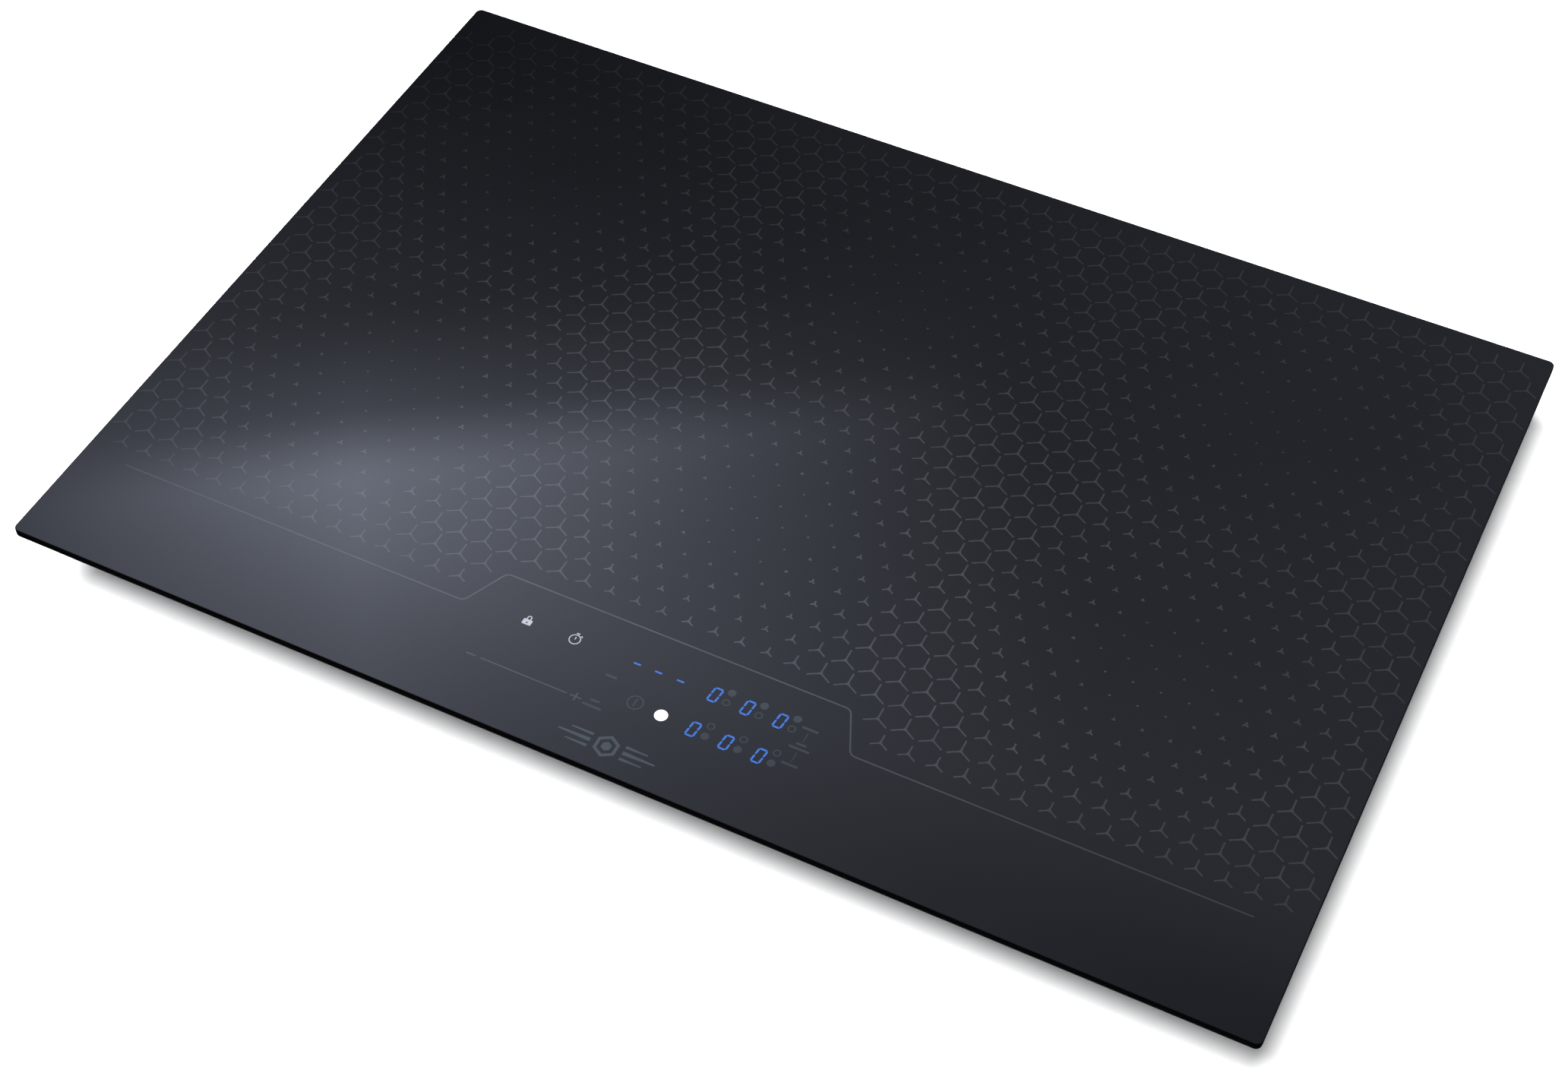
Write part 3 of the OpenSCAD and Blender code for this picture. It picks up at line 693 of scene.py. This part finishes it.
def glass_plate():
    """A sheet with round corners, a rounded arris above and a small one below."""
    size = glass_high - glass_low
    middle = (glass_low + glass_high) / 2
    corner = 0.004
    top_arris = 0.0006
    low_arris = 0.0004
    quarter = [math.radians(15 * step) for step in range(7)]
    # The outline's inset and height, from the bottom up
    profile = []
    for angle in quarter:
        inset = low_arris * (1 - math.sin(angle))
        profile.append((inset, glass_low.z + low_arris * (1 - math.cos(angle))))
    for angle in quarter:
        inset = top_arris * (1 - math.cos(angle))
        profile.append((inset, glass_high.z - top_arris * (1 - math.sin(angle))))
    rings = []
    for inset, height in profile:
        outline = round_rectangle(
            (middle.x, middle.y), size.x - 2 * inset, size.y - 2 * inset, corner - inset, 10
        )
        rings.append([(x, y, height) for x, y in outline])
    # All of the wall is ground, but the last of the upper arris shines like the top
    kinds = [1] * (len(rings) - 3) + [0, 0]
    builder = Builder()
    builder.loft(rings, kinds)
    plate = builder.make("glass_plate", MATERIALS["glass"], EDGE, sharp=50)
    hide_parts("glass_top")


glass_plate()


# ---------------------------------------------------------------- print: stars


def star_outline(arm):
    """Three arms at 90, 210 and 330 degrees, with a fillet between each two."""
    inner = STAR_HALF_WIDTH / math.tan(math.radians(60))
    fillet = min(STAR_FILLET, (arm - inner) * 0.9)
    reach = fillet * math.tan(math.radians(30))
    points = []
    for direction in (90, 210, 330):
        turn = math.radians(direction)
        along = Vector((math.cos(turn), math.sin(turn)))
        across = Vector((-along.y, along.x))
        points.append(along * (inner + reach) - across * STAR_HALF_WIDTH)
        points.append(along * arm - across * STAR_HALF_WIDTH)
        points.append(along * arm + across * STAR_HALF_WIDTH)
        points.append(along * (inner + reach) + across * STAR_HALF_WIDTH)
        middle = math.radians(direction + 60)
        out = Vector((math.cos(middle), math.sin(middle)))
        corner = out * (STAR_HALF_WIDTH / math.sin(math.radians(60)))
        hub = corner + out * (fillet / math.sin(math.radians(60)))
        for swing in (-12, 12):
            angle = middle + math.pi - math.radians(swing)
            points.append(hub + Vector((math.cos(angle), math.sin(angle))) * fillet)
    return [tuple(point) for point in points]


def zone_distance(x, row):
    """Hexagonal distance, in pitches, from the nearest zone's middle."""
    nearest = 99.0
    for centre_row in (0, -ZONE_ROWS):
        for column in (-1, 0, 1):
            rows = abs(row - centre_row)
            columns = abs(x / STAR_PITCH - ZONE_COLUMNS * column)
            nearest = min(nearest, max(rows, columns + rows / 2))
    return round(nearest)


def star_arm(x, row):
    """Arm length of the star at a lattice point: None for no star, 0 for a dot."""
    if abs(x) < CLEAR_WIDTH.get(row, 0):
        return None
    # The rear left corner has none
    if row == BACK_ROW and x < -LAST_COLUMN * STAR_PITCH + 1:
        return None
    if row == FRONT_ROW:
        return STAR_ARMS[7]
    ring = zone_distance(x, row)
    if ring > max(STAR_ARMS):
        return LONGEST_ARM
    return STAR_ARMS.get(ring, 0)


def star_print():
    """All the stars and dots of the lattice."""
    outlines = {arm: star_outline(arm) for arm in (LONGEST_ARM, *STAR_ARMS.values())}
    outlines[0] = circle((0, 0), STAR_DOT, 10)
    builder = Builder()
    for row in range(FRONT_ROW, BACK_ROW + 1):
        odd = row % 2
        for column in range(-LAST_COLUMN - odd, LAST_COLUMN + 1):
            x = (column + odd / 2) * STAR_PITCH
            y = REAR_ZONE_Y + row * STAR_ROW
            arm = star_arm(x, row)
            if arm is not None:
                printed(builder, [(x + px, y + py) for px, py in outlines[arm]])
    builder.make("print_stars", PRINT)


star_print()


# ---------------------------------------------------------------- print: border, slider, captions


def border_line():
    """Along the front, and round the back of the control."""
    corners = [(-360.5, -200.2), (-124, -200.2), (-111, -171.4)]
    path = corners + [(-x, y) for x, y in reversed(corners)]
    bend = 5.0
    width = 0.9
    builder = Builder()
    printed(builder, stroke(round_bends(path, bend), width))
    builder.make("print_border", BORDER)


def slider():
    """A minus sign, the line to slide along, and a plus sign."""
    builder = Builder()
    y = -232.4
    minus_x, line_x, plus_x = -99.85, -65.45, -31.7
    printed(builder, round_rectangle((minus_x, y), 6.5, 0.95, 0.3))
    printed(builder, round_rectangle((line_x, y), 56.3, 0.85, 0.3))
    # Half the width of the plus sign's strokes
    half = 0.45
    plus = []
    for turn in range(4):
        angle = math.radians(90 * turn)
        out = Vector((math.cos(angle), math.sin(angle)))
        side = Vector((-out.y, out.x))
        reach = 3.5 if turn % 2 == 0 else 3.0
        plus += [out * reach - side * half, out * reach + side * half, out * half + side * half]
    printed(builder, [(plus_x + point.x, y + point.y) for point in plus])
    builder.make("print_slider", BORDER)


def captions():
    """Small bars where the real glass carries words, and two upright lines that link them."""
    builder = Builder()
    height = 1.6
    left_x, right_x = -20.5, 96.8
    bars = (
        (right_x, -194.5, 10.2),
        (right_x, -206.0, 6.4),
        (right_x, -209.2, 12.6),
        (right_x, -221.1, 10.2),
        (left_x, -210.9, 7.3),
        (left_x, -230.2, 6.0),
        (left_x, -234.4, 12.0),
    )
    for x, y, width in bars:
        printed(builder, round_rectangle((x, y), width, height, height * 0.4))
    for low, high in ((-203.9, -197.2), (-219.0, -211.7)):
        printed(builder, round_rectangle((right_x, (low + high) / 2), 0.5, high - low, 0.2))
    builder.make("print_captions", MARK)


def emblem():
    """A plain badge, a hexagon ring with three tapered bars on each side."""
    builder = Builder()
    x, y = 0.3, -255.1
    outer, inner, core = [arc((x, y), radius, 30, 390, 6)[:-1] for radius in (7.8, 5.6, 3.2)]
    printed_band(builder, outer, inner)
    printed(builder, core)
    near = 10.2
    for side in (-1, 1):
        for offset, far, height in ((4.3, 24.0, 1.9), (0.0, 30.3, 2.6), (-4.3, 24.0, 1.9)):
            bar = [(near, -height / 2), (far, -height / 5), (far, height / 5), (near, height / 2)]
            placed = [(x + side * along, y + offset + across) for along, across in bar]
            printed(builder, placed[::side])
    builder.make("print_emblem", EMBLEM)


border_line()
slider()
captions()
emblem()


# ---------------------------------------------------------------- lit marks


def lock_mark():
    """A lock: its case with a keyhole, and its shackle."""
    builder = Builder()
    x, y = -82.9, -197.7
    case = round_rectangle((x, y), 5.7, 3.9, 0.5, 3)
    keyhole = circle((x, y - 0.4), 0.55, len(case))
    printed_band(builder, case, keyhole)
    bend, foot, top = 1.15, y + 1.9, y + 3.3
    shackle = [(x - bend, foot), *arc((x, top), bend, 180, 0, 8), (x + bend, foot)]
    printed(builder, stroke(shackle, 0.7))
    builder.make("mark_lock", WHITE_LAMP)


def timer_mark():
    """A stopwatch: its case, crown, slanted side button and hand."""
    builder = Builder()
    x, y = -52.1, -196.6
    printed_ring(builder, (x, y), 3.65, 0.6)
    printed(builder, round_rectangle((x, y + 4.45), 2.0, 0.8, 0.2, 2))
    button = [Vector((-0.65, -0.35)), Vector((0.65, -0.35)), Vector((0.65, 0.35)), Vector((-0.65, 0.35))]
    turned = [Matrix.Rotation(math.radians(-45), 2) @ point for point in button]
    printed(builder, [(x + 2.95 + point.x, y + 3.2 + point.y) for point in turned])
    printed(builder, round_rectangle((x, y + 0.9), 0.6, 2.0, 0.2, 2))
    builder.make("mark_timer", WHITE_LAMP)


def segment(builder, middle, start, end, width, lean):
    """One bar of a digit, with pointed ends, leaning to the right."""
    first, last = Vector(start), Vector(end)
    along = (last - first).normalized()
    side = Vector((-along.y, along.x)) * (width / 2)
    tip = along * (width / 2)
    points = [first, first + tip - side, last - tip - side, last, last - tip + side, first + tip + side]
    printed(builder, [(middle[0] + point.x + lean * point.y, middle[1] + point.y) for point in points])


def digits():
    """Six zeros, each of six bars."""
    builder = Builder()
    # Half the width and height of a digit, then the width of its bars and the gap between them
    x, y = 2.45, 4.85
    width, gap = 1.15, 0.12
    lean = math.tan(math.radians(6.3))
    bars = [((gap - x, level), (x - gap, level)) for level in (-y, y)]
    for side in (-x, x):
        bars += [((side, gap - y), (side, -gap)), ((side, gap), (side, y - gap))]
    for middle_y in (-196.3, -223.1):
        for middle_x in (38.06, 58.6, 79.1):
            for start, end in bars:
                segment(builder, (middle_x, middle_y), start, end, width, lean)
    builder.make("lit_digits", BLUE_LAMP)


def dashes():
    """Three dashes, the time that is left."""
    builder = Builder()
    for x in (-11.6, 2.05, 16.1):
        printed(builder, round_rectangle((x, -196.4), 4.6, 1.1, 0.3, 2))
    builder.make("lit_dashes", BLUE_LAMP)


def zone_marks():
    """A dot and a ring beside each digit."""
    rings = Builder()
    dots = Builder()
    for x in (46.1, 66.5, 87.2):
        for dot_y, ring_y in ((-190.9, -198.4), (-224.6, -217.0)):
            printed(dots, circle((x, dot_y), 2.5, 28))
            printed_ring(rings, (x, ring_y), 2.4, 0.75, 28)
    dots.make("zone_dots", MARK)
    rings.make("zone_rings", MARK)


def power_mark():
    """The power key, a ring with a bar, and the white lamp beside it."""
    key = Builder()
    key_middle = (0.3, -221.2)
    printed_ring(key, key_middle, 5.0, 0.8)
    printed(key, round_rectangle(key_middle, 0.85, 6.0, 0.3, 2))
    key.make("print_power", MARK)
    light = Builder()
    printed(light, circle((17.5, -222.6), 3.95, 40))
    light.make("lit_power", BRIGHT_LAMP)


lock_mark()
timer_mark()
digits()
dashes()
zone_marks()
power_mark()


# ---------------------------------------------------------------- screws


def cross_radius(angle, arm, half_width):
    """Distance from the middle of a cross recess to its outline."""
    turned = (angle + math.pi / 4) % (math.pi / 2) - math.pi / 4
    if abs(math.tan(turned)) * arm < half_width:
        return arm / math.cos(turned)
    return half_width / abs(math.sin(turned))


def hexagon_radius(angle, corner):
    """Distance from the middle of a hexagon to its outline; corner is that of its corners."""
    turned = (angle + math.pi / 6) % (math.pi / 3) - math.pi / 6
    return corner * math.cos(math.pi / 6) / math.cos(turned)


def square_axes(axis):
    """Two directions square to an axis, so that the three are right-handed."""
    axis = Vector(axis).normalized()
    helper = Vector((0, 0, 1)) if abs(axis.z) < 0.9 else Vector((1, 0, 0))
    first = helper.cross(axis).normalized()
    return first, axis.cross(first), axis


def pan_screw(builder, seat, axis, length, turn):
    """A pan-head screw with a cross recess; the head's underside is at seat."""
    sides = 48
    first, second, out = square_axes(axis)

    def ring(radius, level):
        """Points round the axis; the radius is a number, or a function of the angle."""
        points = []
        for side in range(sides):
            angle = math.tau * side / sides
            reach = radius(angle) if callable(radius) else radius
            swing = angle + turn
            points.append(seat + (first * math.cos(swing) + second * math.sin(swing)) * reach + out * level)
        return points

    root = SHANK_RADIUS * 0.82
    pitch = 0.0007
    tip = 0.0012
    neck = 0.0011
    rings = [ring(SHANK_RADIUS * 0.55, -length), ring(SHANK_RADIUS * 0.8, tip / 2 - length)]
    level = tip - length
    while level < -neck:
        rings += [ring(root, level), ring(SHANK_RADIUS, level + pitch / 2)]
        level += pitch
    rings += [ring(root, -0.0002), ring(SHANK_RADIUS, 0)]
    rings += [ring(HEAD_RADIUS * 0.97, 0), ring(HEAD_RADIUS, 0.0003)]
    # The dome of the head, as shares of its radius and height
    for across, up in ((0.985, 0.45), (0.9, 0.78), (0.72, 0.95), (0.66, 1.0)):
        rings.append(ring(HEAD_RADIUS * across, HEAD_HEIGHT * up))
    # The cross recess, which narrows towards its bottom
    rings.append(ring(lambda angle: cross_radius(angle, 0.0021, 0.00042), HEAD_HEIGHT))
    rings.append(ring(lambda angle: cross_radius(angle, 0.0013, 0.00034), HEAD_HEIGHT * 0.5))
    rings.append(ring(0.0002, HEAD_HEIGHT * 0.25))
    builder.loft(rings)


def body_screws():
    """Screws between the pan and the frame, along all four sides."""
    length = 0.0036
    pan_low, pan_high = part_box("chassis_pan")
    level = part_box("chassis_screws")[1].z - HEAD_RADIUS
    seats = []
    for x in (-0.3, -0.1, 0.1, 0.3):
        seats += [((x, pan_low.y, level), (0, -1, 0)), ((x, pan_high.y, level), (0, 1, 0))]
    for y in (-0.2, 0.0, 0.2):
        seats += [((pan_low.x, y, level), (-1, 0, 0)), ((pan_high.x, y, level), (1, 0, 0))]
    builder = Builder()
    for count, (seat, axis) in enumerate(seats):
        pan_screw(builder, Vector(seat), axis, length, count * 0.7)
    made = builder.make("frame_screws_cross_head", MATERIALS["zinc_steel"], slot="zinc_steel")
    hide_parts("chassis_screws")


def bracket_screw_set():
    """Two screws through each bracket into the pan's side walls."""
    length = 0.0044
    hole = 0.012
    low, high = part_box("bracket_screws")
    level = (low.z + high.z) / 2
    seat_x = high.x - HEAD_HEIGHT
    middle_y = high.y - HEAD_RADIUS - hole
    builder = Builder()
    count = 0
    for side in (-1, 1):
        for row in (-1, 1):
            for offset in (-hole, hole):
                seat = Vector((side * seat_x, row * middle_y + offset, level))
                pan_screw(builder, seat, (side, 0, 0), length, 0.4 + count * 0.9)
                count += 1
    made = builder.make("bracket_screws_cross_head", MATERIALS["zinc_steel"], slot="zinc_steel")
    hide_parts("bracket_screws")


def clamp_screw(where):
    """An M6 grub screw: a rolled thread, chamfered ends and a hexagon socket in its lower end."""
    node = "clamp_screw_" + where
    low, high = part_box(node)
    centre = (low + high) / 2
    outer = (high.x - low.x) / 2
    chamfer = 0.0006
    root = outer - chamfer
    pitch = 0.001
    sides = 24
    socket = 0.0017
    socket_depth = 0.003

    def ring(level, shape):
        points = []
        for side in range(sides):
            angle = math.tau * side / sides
            reach = shape(angle)
            points.append((centre.x + math.cos(angle) * reach, centre.y + math.sin(angle) * reach, level))
        return points

    def thread(level):
        """The radius by angle, at one level of the thread, which runs out at both ends."""
        run_in = (level - low.z - chamfer / 2) / pitch
        run_out = (high.z - chamfer - level) / pitch
        depth = (outer - root) * max(0.0, min(1.0, run_in, run_out))

        def radius(angle):
            turn = ((level - low.z) / pitch - angle / math.tau) % 1.0
            return root + depth * min(1.0, 2.4 * abs(turn - 0.5))

        return radius

    rings = [
        ring(low.z + socket_depth, lambda angle: 0.0004),
        ring(low.z + socket_depth, lambda angle: hexagon_radius(angle, socket)),
        ring(low.z, lambda angle: hexagon_radius(angle, socket)),
        ring(low.z, lambda angle: root * 0.98),
    ]
    level = low.z + 0.0005
    thread_end = high.z - 0.0008
    while level < thread_end:
        rings.append(ring(level, thread(level)))
        level += pitch / 6
    rings.append(ring(high.z - chamfer, lambda angle: root))
    rings.append(ring(high.z, lambda angle: root * 0.8))
    builder = Builder()
    builder.loft(rings)
    made = builder.make("threaded_" + node, MATERIALS["zinc_steel"], body=node, slot="zinc_steel")
    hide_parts(node)


body_screws()
bracket_screw_set()
for row in ("front", "rear"):
    for side in ("left", "right"):
        clamp_screw(row + "_" + side)


# ---------------------------------------------------------------- stage


def flat_sheet(name, low, high, level, material):
    """A level rectangle, as the floor and the card are."""
    mesh = bpy.data.meshes.new(name)
    corners = [(x, y, level) for x, y in (low, (high[0], low[1]), high, (low[0], high[1]))]
    mesh.from_pydata(corners, [], [(0, 1, 2, 3)])
    mesh.materials.append(material)
    made = bpy.data.objects.new(name, mesh)
    bpy.context.scene.collection.objects.link(made)
    return made


def floor_material():
    """Matt white."""
    material, tree, shader = new_material("studio_floor")
    faint = noise(tree, place(tree), 3.0)
    stops = ((0.3, (0.86, 0.86, 0.86)), (0.7, (0.88, 0.88, 0.88)))
    paint(tree, shader, faint, *stops)
    shader.inputs["Roughness"].default_value = 1.0
    shader.inputs["Specular IOR Level"].default_value = 0.0
    return material


def card_material():
    """What the glass reflects towards the camera: one soft box with a straight edge, fading away from
    it, and a dim room. The card hangs level with the camera, so the reflection of the glass's point p
    is at 2 p minus the camera's place."""
    material = bpy.data.materials.new("reflected_soft_box")
    material.use_nodes = True
    tree = material.node_tree
    tree.nodes.clear()
    card_x, card_y = level_axes(tree)
    x = (card_x + CAMERA_PLACE.x) * 0.5
    y = (card_y + CAMERA_PLACE.y) * 0.5

    # The soft box. Its edge is a sharper step and a softer one together
    east = x - BOX_FOOT.x
    north = y - BOX_FOOT.y
    along = east * BOX_ALONG.x + north * BOX_ALONG.y - BOX_PEAK
    across = east * BOX_ACROSS.x + north * BOX_ACROSS.y
    fade_far = (1.0 - along.at_least(0.0) / REACH_FAR).clamp() ** 1.5
    fade_near = (along.at_most(0.0) / REACH_NEAR + 1.0).clamp()
    sharper, softer = across.smooth(-0.065, 0.0), across.smooth(-0.16, 0.0)
    edge = sharper * 0.65 + softer * 0.35
    fade_across = across.at_least(0.0).fall(REACH_ACROSS)
    box = fade_far * fade_near * edge * fade_across * SOFT_BOX

    # The room: dim, a little brighter to the right and towards the left front
    right = (x / GLASS_WIDTH + 0.5).clamp()
    front = (0.5 - y * 2.0).clamp() ** 1.6
    room = right.between(0.0065, 0.0185) + front * right.between(0.035, 0.00805)

    # Both are dimmer along the front rim, most so on its right
    front_rim = 1.0 - y.smooth(-0.27, -0.17)
    dimming = 1.0 - front_rim * right.between(0.1, 0.4)
    darkest = 0.0005
    light = ((box + room) * dimming - DIFFUSE_PART).at_least(darkest) / REFLECTANCE

    # Off the glass, the card fades into the sky
    inside_x = x.join("ABSOLUTE").smooth(CARD_HALF.x, GLASS_HALF.x)
    inside_y = y.join("ABSOLUTE").smooth(CARD_HALF.y, GLASS_HALF.y)
    inside = inside_x * inside_y
    light = light * inside + (1.0 - inside) * SKY
    emission = tree.nodes.new("ShaderNodeEmission")
    emission.inputs["Color"].default_value = BOX_COLOUR
    tree.links.new(light.socket, emission.inputs["Strength"])
    output = tree.nodes.new("ShaderNodeOutputMaterial")
    tree.links.new(emission.outputs["Emission"], output.inputs["Surface"])
    return material


def stage():
    """The floor, and the card, which only the glass sees."""
    flat_sheet("floor", (-30, -30), (30, 30), FLOOR_Z, floor_material())
    low = -2 * CARD_HALF - CAMERA_PLACE.xy
    high = 2 * CARD_HALF - CAMERA_PLACE.xy
    card = flat_sheet("reflection_card", low, high, GLASS_Z + CAMERA_PLACE.z, card_material())
    card.visible_camera = False
    card.visible_diffuse = False
    card.visible_shadow = False
    card.visible_transmission = False


def lights():
    """A sky that is pale low down and dim above, and a wide sun."""
    scene = bpy.context.scene
    world = bpy.data.worlds.new("studio")
    scene.world = world
    world.use_nodes = True
    tree = world.node_tree
    background = tree.nodes["Background"]
    source = tree.nodes.new("ShaderNodeTexCoord")
    split = tree.nodes.new("ShaderNodeSeparateXYZ")
    tree.links.new(source.outputs["Generated"], split.inputs["Vector"])
    pale, dim = (1.0, 1.0, 1.0), (SKY, SKY, SKY * 1.04)
    sky = ramp(tree, split.outputs["Z"], (0.0, pale), (0.16, pale), (0.36, dim), (1.0, dim))
    tree.links.new(sky, background.inputs["Color"])
    sun = bpy.data.lights.new("overhead", "SUN")
    sun.energy = SUN_ENERGY
    sun.angle = math.radians(SUN_WIDTH)
    holder = bpy.data.objects.new("overhead", sun)
    scene.collection.objects.link(holder)
    holder.rotation_mode = "QUATERNION"
    holder.rotation_quaternion = SUN_TOWARDS.to_track_quat("Z", "Y")
    holder.visible_glossy = False
    scene.view_settings.view_transform = "Standard"
    scene.view_settings.look = "None"


def camera():
    """The camera, turned by its azimuth, elevation and roll."""
    azimuth, elevation = math.radians(CAMERA_AZIMUTH), math.radians(CAMERA_ELEVATION)
    roll = math.radians(CAMERA_ROLL)
    level = math.cos(elevation)
    back = Vector((math.sin(azimuth) * level, -math.cos(azimuth) * level, math.sin(elevation)))
    right = (-back).cross(Vector((0, 0, 1))).normalized()
    up = right.cross(-back)
    rolled_right = right * math.cos(roll) + up * math.sin(roll)
    rolled_up = up * math.cos(roll) - right * math.sin(roll)
    lens = bpy.data.cameras.new("camera")
    lens.lens = CAMERA_LENS
    lens.sensor_width = 36
    lens.clip_start = 0.01
    lens.clip_end = 100
    holder = bpy.data.objects.new("camera", lens)
    bpy.context.scene.collection.objects.link(holder)
    middle = Vector(((glass_low.x + glass_high.x) / 2, (glass_low.y + glass_high.y) / 2, GLASS_Z))
    turn = Matrix((rolled_right, rolled_up, back)).transposed().to_4x4()
    holder.matrix_world = Matrix.Translation(middle + CAMERA_PLACE) @ turn
    bpy.context.scene.camera = holder


stage()
lights()
camera()
